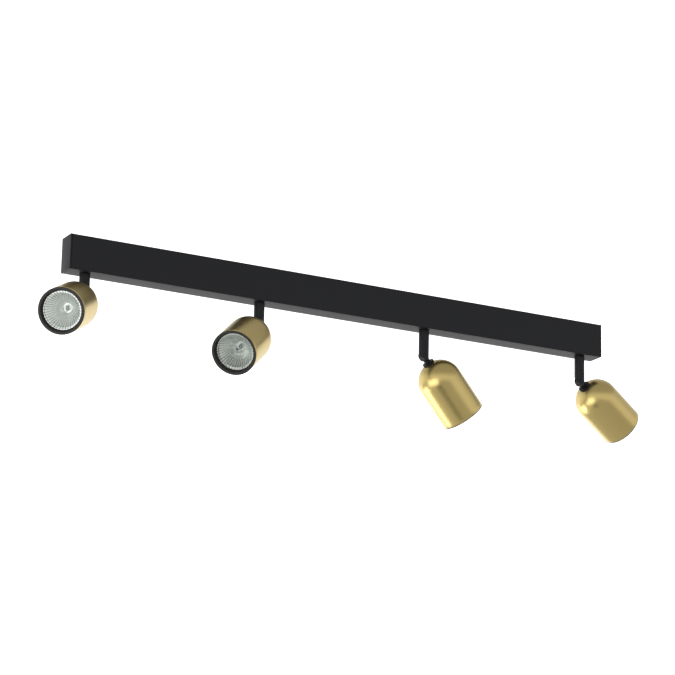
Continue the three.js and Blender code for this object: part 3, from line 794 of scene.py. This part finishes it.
def stem_shape():
    axis = -tilt_drop
    thread = threaded(NECK_RADIUS, 0.5, NECK_HEIGHT - 0.7, 0.4, 0.9)
    shaft = [(STEM_RADIUS, -CLEARANCE - 0.3), (STEM_RADIUS - 0.3, -CLEARANCE),
             (NECK_RADIUS - 0.4, -CLEARANCE), *thread, (NECK_RADIUS - 0.5, NECK_HEIGHT),
             (NECK_BORE + 0.2, NECK_HEIGHT), (NECK_BORE, NECK_HEIGHT - 0.2),
             (NECK_BORE, axis + seat_radius - 1), (0, axis + seat_radius - 1)]
    rod = turned(nose(-1) + plain(shaft), 64, lift=rounded_end(axis))
    seat = moved(post(seat_radius, eye_near - CLEARANCE, WIDE, sides=96), ALONG_Y)
    seat = moved(seat, Matrix.Translation((0, 0, axis)))
    tapped = cross_rod(PIVOT_RADIUS + CLEARANCE, PIVOT_WALL - STEM_RADIUS, 0, axis)
    relief = brick((0, eye_near - CLEARANCE + RELIEF_STEP, axis - OVERRUN),
                   (WIDE, WIDE, axis + WAIST_RADIUS + CLEARANCE))
    steps = [("DIFFERENCE", seat), ("DIFFERENCE", relief), ("DIFFERENCE", tapped)]
    return combined("stem", rod, steps, SOFT_EDGE, 3)


def hex_nut(low, high):
    """A chamfered hexagon nut on the Z axis."""
    across = NUT_FLATS / math.sqrt(3)
    cone = [(0, low), (NUT_FLATS / 2 - 0.1, low), (across + 0.1, low + NUT_CHAMFER),
            (across + 0.1, high - NUT_CHAMFER), (NUT_FLATS / 2 - 0.1, high), (0, high)]
    prism = turned([(0, low), (across, low), (across, high), (0, high)], 6)
    bore = post(NECK_RADIUS + CLEARANCE, low - 1, high + 1, sides=64)
    return combined("nut", prism, [("INTERSECT", turned(cone, 96)), ("DIFFERENCE", bore)])


def each(name, shape, material, slot, node, places, body):
    """One finished piece for each stem or each head, all of the same shape."""
    pattern = meshed(name, shape)
    for number, place in enumerate(places, 1):
        piece(f"{name}_{number}", pattern.copy(), material, f"{body}_{number}", slot,
              f"{node}_{number}", place=place)


swivels, spots = [], []
for pan_joint, tilt_joint in zip(stems, tilts):
    across = Vector(tilt_joint["axis"])
    pan = Matrix.Rotation(math.atan2(across.x, -across.y), 4, "Z")
    tilt = Matrix.Rotation(math.radians(tilt_joint["range_deg"][0]), 4, "Y")
    swivels.append(Matrix.Translation((pan_joint["pos_m"][0], 0, underside * MM)) @ pan)
    spots.append(Matrix.Translation(tilt_joint["pos_m"]) @ pan @ tilt)
each("stem_rod", stem_shape(), black_coat, "black_coat", "stem", swivels, "swivel")
nut_seat = CHANNEL_SHEET + CLEARANCE
each("stem_hex_nut", hex_nut(nut_seat, nut_seat + NUT_HEIGHT), zinc_steel, "zinc_steel", "stem_nut",
     swivels, "swivel")

# ---- Knuckles -----------------------------------------------------------------------------
# Turned from the same rod as the stems. A flat round eye turns in the stem's seat, a thin waist
# leads down to two collars with a groove between them, which close the hole in the casing's
# dome, and a hollow neck inside takes the nut.
WAIST_LENGTH = 3
WAIST_END = -3.5  # where it has gone into the eye
EYE_INSET = 0.1  # the blank is cut this much thinner than the eye on each side
FLANGE_OUT = 1.25
FLANGE_HEIGHT = 1.2
GROOVE_IN = 1
GROOVE_HEIGHT = 0.5
WASHER_HEIGHT = 0.5
CASING_RADIUS = 30
CASING_WALL = 1
STRIP = 1
STRIP_WIDTH = 14
STRIP_HALF = 11

flange_radius = STEM_RADIUS + FLANGE_OUT
flange_top = -seat_radius - WAIST_LENGTH
flange_bottom = flange_top - FLANGE_HEIGHT
washer_top = flange_bottom - GROOVE_HEIGHT
dome_top = washer_top - WASHER_HEIGHT
dome_centre = dome_top - CASING_RADIUS
inner_radius = CASING_RADIUS - CASING_WALL


def dome_height(radius, out=CASING_RADIUS):
    return dome_centre + math.sqrt(out ** 2 - radius ** 2)


strip_top = dome_height(math.hypot(STRIP_HALF, STRIP_WIDTH / 2), inner_radius) - CLEARANCE
strip_seat = strip_top - STRIP
inner_nut_top = strip_seat - CLEARANCE
neck_end = inner_nut_top - NUT_HEIGHT - 1


def knuckle_shape():
    neck, edge = STEM_RADIUS - GROOVE_IN, 0.2
    thread = threaded(NECK_RADIUS, neck_end + 0.7, dome_height(NECK_RADIUS) - 0.4, 0.4, 0.9)
    rod = [(0, -seat_radius), (NECK_BORE, -seat_radius), (NECK_BORE, neck_end),
           (NECK_RADIUS - 0.5, neck_end), *thread,
           (NECK_RADIUS - 0.4, dome_height(NECK_RADIUS) + CLEARANCE),
           (flange_radius - 0.1, dome_height(flange_radius) + CLEARANCE),
           (flange_radius, dome_height(flange_radius) + CLEARANCE + 0.15),
           (flange_radius, washer_top - edge), (flange_radius - edge, washer_top), (neck, washer_top),
           (neck, flange_bottom), (flange_radius - edge, flange_bottom),
           (flange_radius, flange_bottom + edge), (flange_radius, flange_top - edge),
           (flange_radius - edge, flange_top), (WAIST_RADIUS, flange_top),
           (WAIST_RADIUS, WAIST_END), (0, WAIST_END)]
    eye = moved(post(STEM_RADIUS, eye_near, eye_far, sides=96), ALONG_Y)
    steps = [("DIFFERENCE", brick((-WIDE, -WIDE, -seat_radius), (WIDE, eye_near + EYE_INSET, WIDE))),
             ("DIFFERENCE", brick((-WIDE, eye_far - EYE_INSET, -seat_radius), (WIDE, WIDE, WIDE))),
             ("UNION", eye),
             ("DIFFERENCE", cross_rod(PIVOT_RADIUS + CLEARANCE, -WIDE, WIDE, 0))]
    return combined("knuckle", turned(rod, 64), steps, 0.3, 3)


def pivot_screw_shape():
    """A cheese-head screw along Y, with a hexagon socket in its head."""
    seat = eye_far + CLEARANCE
    top = seat + PIVOT_HEAD_HEIGHT
    end = PIVOT_WALL - STEM_RADIUS + CLEARANCE
    body = [(0, end), (PIVOT_RADIUS - 0.4, end), *threaded(PIVOT_RADIUS, end + 0.4, eye_near - 0.4),
            (PIVOT_RADIUS, eye_near), (PIVOT_RADIUS, seat), (PIVOT_HEAD, seat), (PIVOT_HEAD, top - 0.3),
            (PIVOT_HEAD - 0.3, top), (0, top)]
    socket = post(PIVOT_SOCKET, top - PIVOT_HEAD_HEIGHT / 2, top + OVERRUN, sides=6)
    return moved(combined("pivot", turned(body, 48), [("DIFFERENCE", socket)]), ALONG_Y)


each("knuckle_eye", knuckle_shape(), black_coat, "black_coat", "knuckle", spots, "spot")
each("pivot_clamp_screw", pivot_screw_shape(), zinc_steel, "zinc_steel", "pivot_screw", spots, "spot")
each("knuckle_hex_nut", hex_nut(inner_nut_top - NUT_HEIGHT, inner_nut_top), zinc_steel, "zinc_steel",
     "knuckle_nut", spots, "spot")

# ---- Casings ------------------------------------------------------------------------------
# Deep-drawn brass cups with a round dome, polished, dulled to a fine satin and lacquered. The
# neck of the knuckle goes through the hole in the dome.
CASING_LENGTH = 88  # to the front of the ring in its mouth
RING_FLANGE = 0.7  # the ring's thickness in front of the casing's edge
RIM_EDGE = 0.15
WALL_RINGS = 12


def satin_brass():
    """Satin brass: a very fine turned grain under lacquer, and a little tarnish in the tone."""
    brass = Finish("satin_brass")
    cloud = brass.noise(28, 4)
    grain = brass.noise(700, 2, stretch=(0.25, 0.25, 3))
    tone = brass.blend(cloud, (0.74, 0.575, 0.215, 1), (0.80, 0.625, 0.25, 1))
    sheen = 0.24 + cloud * 0.05 + grain * 0.06
    skin = brass.bump(grain, 0.25, 0.02)
    inputs = {"Base Color": tone, "Metallic": 1.0, "Roughness": sheen, "Normal": skin,
              "Coat Weight": 0.15, "Coat Roughness": 0.2}
    return brass.principled(inputs)


def dome_arc(radius, start, end, steps=28):
    angles = [math.radians(start + (end - start) * k / steps) for k in range(steps + 1)]
    return [(radius * math.cos(a), dome_centre + radius * math.sin(a)) for a in angles]


brass = satin_brass()
rim = dome_top - CASING_LENGTH
mouth_edge = rim + RING_FLANGE + CLEARANCE
neck_hole = NECK_RADIUS + CLEARANCE
outer_top = math.degrees(math.acos(neck_hole / CASING_RADIUS))
inner_top = math.degrees(math.acos(neck_hole / inner_radius))
straight = [dome_centre + (mouth_edge - dome_centre) * k / WALL_RINGS for k in range(WALL_RINGS)]
soft = RIM_EDGE * 0.3
cup = [(CASING_RADIUS - RIM_EDGE, mouth_edge), (CASING_RADIUS - soft, mouth_edge + soft),
       (CASING_RADIUS, mouth_edge + RIM_EDGE)]
cup += [(CASING_RADIUS, z) for z in reversed(straight[1:])]
cup += dome_arc(CASING_RADIUS, 0, outer_top) + dome_arc(inner_radius, inner_top, 0)
cup += [(inner_radius, mouth_edge + RIM_EDGE), (inner_radius + RIM_EDGE / 2, mouth_edge)]
each("casing_cup", turned(cup, 128, closed=True), brass, "satin_brass", "casing", spots, "spot")

# ---- Baffle rings -------------------------------------------------------------------------
# Black heat-proof rings pressed into the casings' mouths, with a thin flange over the edge of
# the brass. The front slopes inwards to a lip that holds the lamp by its rim.
LAMP_RADIUS = 25
LAMP_RECESS = 5.3
BAFFLE_DEPTH = 14
BAFFLE_SKIRT = 1.25
BAFFLE_FACE = 3.5
BAFFLE_LIP = 0.8

black_baffle = moulded("black_baffle", (0.010, 0.0105, 0.009), (0.016, 0.0165, 0.0145), 0.5, 1400)
baffle_outer = inner_radius - CLEARANCE
baffle_inner = LAMP_RADIUS - CLEARANCE
lip_front = rim + LAMP_RECESS - CLEARANCE - BAFFLE_LIP
baffle_outline = rounded(
    [(CASING_RADIUS, rim), (CASING_RADIUS, rim + RING_FLANGE), (baffle_outer, rim + RING_FLANGE),
     (baffle_outer, rim + BAFFLE_DEPTH),
     (baffle_outer - BAFFLE_SKIRT, rim + BAFFLE_DEPTH),
     (baffle_outer - BAFFLE_SKIRT, lip_front + BAFFLE_LIP), (baffle_inner, lip_front + BAFFLE_LIP),
     (baffle_inner, lip_front), (CASING_RADIUS - BAFFLE_FACE, rim)],
    [0.3, 0.2, 0.1, 0.3, 0.3, 0.3, 0.2, 0.3, 0.6], 5)
each("baffle_ring_moulding", turned(baffle_outline, 128, closed=True), black_baffle, "black_baffle",
     "baffle_ring", spots, "spot")

# ---- Holder brackets ----------------------------------------------------------------------
# Zinc-plated strips folded into a C. The nut clamps the top inside the dome, and the turned-in
# feet carry the lamp holder.
LAMP_LENGTH = 46
HOLDER_HEIGHT = 11
STRIP_FOOT = 6

lamp_face = rim + LAMP_RECESS
lamp_back = lamp_face + LAMP_LENGTH
holder_bottom = lamp_back + CLEARANCE
holder_top = holder_bottom + HOLDER_HEIGHT
foot = holder_top + CLEARANCE
toe, inside = STRIP_HALF - STRIP_FOOT, STRIP_HALF - STRIP
strip_outline = rounded(
    [(-toe, foot), (-STRIP_HALF, foot), (-STRIP_HALF, strip_top), (STRIP_HALF, strip_top),
     (STRIP_HALF, foot), (toe, foot), (toe, foot + STRIP), (inside, foot + STRIP),
     (inside, strip_seat), (-inside, strip_seat), (-inside, foot + STRIP), (-toe, foot + STRIP)],
    [0.1, 1.2, 1.2, 1.2, 1.2, 0.1, 0.1, 0.3, 0.3, 0.3, 0.3, 0.1], 5)
across_x = Matrix.Rotation(math.radians(-90), 4, "Z")
strap = moved(drawn(strip_outline, -STRIP_WIDTH / 2, STRIP_WIDTH / 2), across_x)
hole = post(neck_hole, strip_seat - 1, strip_top + 1, sides=64)
each("holder_strap", combined("strap", strap, [("DIFFERENCE", hole)], 0.12, 2), zinc_steel,
     "zinc_steel", "holder_bracket", spots, "spot")

# ---- Lamp holders -------------------------------------------------------------------------
# Unglazed steatite discs with two keyhole sockets that the lamp's studs are twisted into.
HOLDER_RADIUS = 14
STUD_RADIUS = 2.2
STUD_LENGTH = 6
STUD_SPACING = 10

steatite = moulded("steatite", (0.76, 0.72, 0.64), (0.83, 0.80, 0.74), 0.68, 1100, 0.08)
puck = [(0, holder_bottom), (HOLDER_RADIUS - 1, holder_bottom), (HOLDER_RADIUS, holder_bottom + 1),
        (HOLDER_RADIUS, holder_bottom + 4), (HOLDER_RADIUS - 0.6, holder_bottom + 4.4),
        (HOLDER_RADIUS - 0.6, holder_top - 4.4), (HOLDER_RADIUS, holder_top - 4),
        (HOLDER_RADIUS, holder_top - 1), (HOLDER_RADIUS - 1, holder_top), (0, holder_top)]
sockets = []
for side in (-1, 1):
    way_in = (side * STUD_SPACING / 2, 0)
    bore = post(STUD_RADIUS + CLEARANCE, holder_bottom - 1, holder_bottom + STUD_LENGTH + 1, way_in)
    sockets.append(("DIFFERENCE", bore))
each("holder_puck", combined("puck", turned(puck, 72), sockets, 0.3, 2), steatite, "ceramic",
     "lamp_holder", spots, "spot")

# ---- Lamps --------------------------------------------------------------------------------
# Standard 50 mm reflector lamps: a pressed-glass bowl, mirrored and fluted inside, closed by a
# clear front glass, with a small halogen capsule at its centre and a two-stud twist base.
LENS_MARGIN = 1.8
LENS_THICKNESS = 1.8
BOWL_DEPTH = 18
THROAT = 8.8
BOWL_WALL = 1.6
POCKET_DEPTH = 25
POCKET_RADIUS = 6.4
BASE_RADIUS = 11
LAMP_FLANGE = 3.5
FLUTES = 40
FLUTE_DEPTH = 0.14
FLUTE_REACH = 0.72  # share of the way to the throat
BOWL_RINGS = 26
BOWL_SIDES = 320


def mirrored_glass():
    """Vacuum-coated aluminium on pressed glass, a little green, with painted shade at the foot of each flute
    on the bowl's outer part.
    """
    mirror = Finish("silvered_glass")
    cloud = mirror.noise(240, 3)
    place = mirror.node("TexCoord", output="Object")
    x = mirror.node("SeparateXYZ", None, {0: place}, output="X")
    y = mirror.node("SeparateXYZ", None, {0: place}, output="Y")
    radius = x.maths("SQRT", x * x + y * y)
    wave = x.maths("COSINE", x.maths("ARCTAN2", y, x) * FLUTES)
    # Painted shade: the foot of each flute, over the outer part of the bowl, is darkened towards a dark
    # grey-green.
    foot = mirror.ramp(wave, -0.55, -0.95, "LINEAR")
    outer = mirror.ramp(radius, 12.5 * MM, 15 * MM, "LINEAR")
    tone = mirror.blend(cloud, (0.95, 0.97, 0.93, 1), (0.98, 0.99, 0.97, 1))
    tone = mirror.blend(foot * outer * 0.75, tone, (0.16, 0.19, 0.15, 1))
    skin = mirror.bump(cloud, 0.25, 0.12)
    sheen = 0.34 + cloud * 0.12
    inputs = {"Base Color": tone, "Metallic": 1.0, "Roughness": sheen, "Normal": skin}
    return mirror.principled(inputs)


lens_radius = LAMP_RADIUS - LENS_MARGIN
lens_back = lamp_face + 2 * CLEARANCE + LENS_THICKNESS
mouth = lens_radius - 1


def bowl_point(share):
    """Radius and height of the mirror from the mouth at 0 to the throat at 1."""
    radius = mouth + (THROAT - mouth) * share
    rise = (mouth ** 2 - radius ** 2) / (mouth ** 2 - THROAT ** 2)
    return radius, lens_back + (BOWL_DEPTH - lens_back + lamp_face) * rise


def reflector_shape():
    """The lamp's body. The mirror's rings of points rise and fall to make its flutes."""
    pocket, rim_out, rim_in = lamp_face + POCKET_DEPTH, LAMP_RADIUS - CLEARANCE, lens_radius + CLEARANCE
    bowl = [(*bowl_point(k / BOWL_RINGS), k / BOWL_RINGS) for k in range(1, BOWL_RINGS + 1)]
    shell = [(r + BOWL_WALL * 0.7, z + BOWL_WALL, 0) for r, z, share in bowl[1:]]
    profile = [(0, pocket, 0), (POCKET_RADIUS - 0.4, pocket, 0), (POCKET_RADIUS, pocket - 0.4, 0),
               *reversed(bowl),
               (mouth, lens_back, 0), (rim_in, lens_back, 0), (rim_in, lamp_face + 0.25, 0),
               (rim_in + 0.2, lamp_face, 0), (rim_out - 0.25, lamp_face, 0),
               (rim_out, lamp_face + 0.25, 0), (rim_out, lamp_face + LAMP_FLANGE, 0),
               *shell,
               (BASE_RADIUS, pocket, 0), (BASE_RADIUS, lamp_back - 0.8, 0),
               (BASE_RADIUS - 0.8, lamp_back, 0), (0, lamp_back, 0)]

    def fluted(radius, height, share, angle):
        fade = math.sin(math.pi * share / FLUTE_REACH) if 0 < share < FLUTE_REACH else 0
        return height + FLUTE_DEPTH * math.sqrt(max(fade, 0)) * math.cos(FLUTES * angle)

    return turned(profile, BOWL_SIDES, lift=fluted)


def stud(side):
    """A stud of the twist base: a thin neck and a round flat head."""
    top = lamp_back + STUD_LENGTH
    profile = [(0, lamp_back - 0.5), (1.4, lamp_back - 0.5), (1.4, top - 2.4),
               (STUD_RADIUS - 0.2, top - 2.2), (STUD_RADIUS, top - 2), (STUD_RADIUS, top - 0.3),
               (STUD_RADIUS - 0.3, top), (0, top)]
    return moved(turned(profile, 32), Matrix.Translation((side * STUD_SPACING / 2, 0, 0)))


reflector = reflector_shape()
for side in (-1, 1):
    gathered(reflector, stud(side))
each("reflector_bowl", reflector, mirrored_glass(), "silvered_glass", "lamp_reflector", spots, "spot")


def clear_glass(name, ior, tint):
    """Clear glass: what it doesn't reflect goes straight through, with a faint tint."""
    glass = Finish(name)
    dust = glass.noise(300, 3)
    through = glass.node("BsdfTransparent", None, {"Color": tint})
    white = (0.95, 0.97, 0.96, 1)
    gloss = glass.node("BsdfGlossy", None, {"Color": white, "Roughness": 0.03})
    share = glass.node("Fresnel", None, {"IOR": ior}) + dust * 0.012
    mixed = glass.node("MixShader", None, {0: share, 1: through, 2: gloss})
    return glass.surface(mixed)


lens_front = lamp_face + CLEARANCE
disc = rounded([(0, lens_front), (lens_radius, lens_front), (lens_radius, lens_front + LENS_THICKNESS),
                (0, lens_front + LENS_THICKNESS)], [0, 0.35, 0.35, 0], 5)
lens_glass = clear_glass("clear_glass", 1.45, (0.97, 0.985, 0.975, 1))
each("front_glass", turned(disc, 128), lens_glass, "clear_glass", "lamp_lens", spots, "spot")

# ---- Lamp capsules ------------------------------------------------------------------------
# Quartz capsules, pinched flat at the foot round two molybdenum wires, with a coiled tungsten
# filament across the middle.
CAPSULE_RADIUS = 4
CAPSULE_LENGTH = 14
PINCH_HEIGHT = 4.4
FILAMENT_HALF = 1.9
FILAMENT_TURNS = 12
FILAMENT_COIL = 0.45
FILAMENT_WIRE = 0.1


def tungsten_wire():
    tungsten = Finish("tungsten")
    flecks = tungsten.noise(2500, 2)
    grey = tungsten.blend(flecks, (0.10, 0.10, 0.105, 1), (0.22, 0.22, 0.23, 1))
    inputs = {"Base Color": grey, "Metallic": 1.0, "Roughness": 0.4 + flecks * 0.2}
    return tungsten.principled(inputs)


capsule_foot = lamp_face + POCKET_DEPTH - CLEARANCE
tip = capsule_foot - CAPSULE_LENGTH
bulb = [(0, tip)]
for k in range(1, 13):
    a = math.radians(90 * k / 12)
    bulb.append((CAPSULE_RADIUS * math.sin(a), tip + CAPSULE_RADIUS * (1 - math.cos(a))))
bulb += [(CAPSULE_RADIUS, capsule_foot - PINCH_HEIGHT - 0.6),
         (CAPSULE_RADIUS * 0.9, capsule_foot - PINCH_HEIGHT), (CAPSULE_RADIUS * 0.9, capsule_foot),
         (0, capsule_foot)]
capsule = turned(bulb, 40)
for vertex in capsule.verts:
    if vertex.co.z > capsule_foot - PINCH_HEIGHT - 0.1:
        vertex.co.y *= 0.4
middle = capsule_foot - CAPSULE_LENGTH / 2
wire = [Vector((-FILAMENT_HALF, 0, capsule_foot - 1))]
for k in range(FILAMENT_TURNS * 8 + 1):
    a = k * math.pi / 4
    x = FILAMENT_HALF * (k / (FILAMENT_TURNS * 4) - 1)
    wire.append(Vector((x, FILAMENT_COIL * math.sin(a), middle + FILAMENT_COIL * math.cos(a))))
wire.append(Vector((FILAMENT_HALF, 0, capsule_foot - 1)))
quartz, tungsten = clear_glass("quartz", 1.42, (0.90, 0.91, 0.91, 1)), tungsten_wire()
each("capsule_bulb", capsule, quartz, "clear_glass", "lamp_capsule", spots, "spot")
pattern = meshed("capsule_filament", tube(wire, FILAMENT_WIRE, 8))
for number, place in enumerate(spots, 1):
    name = f"capsule_filament_{number}"
    piece(name, pattern.copy(), tungsten, f"spot_{number}", "zinc_steel", place=place)
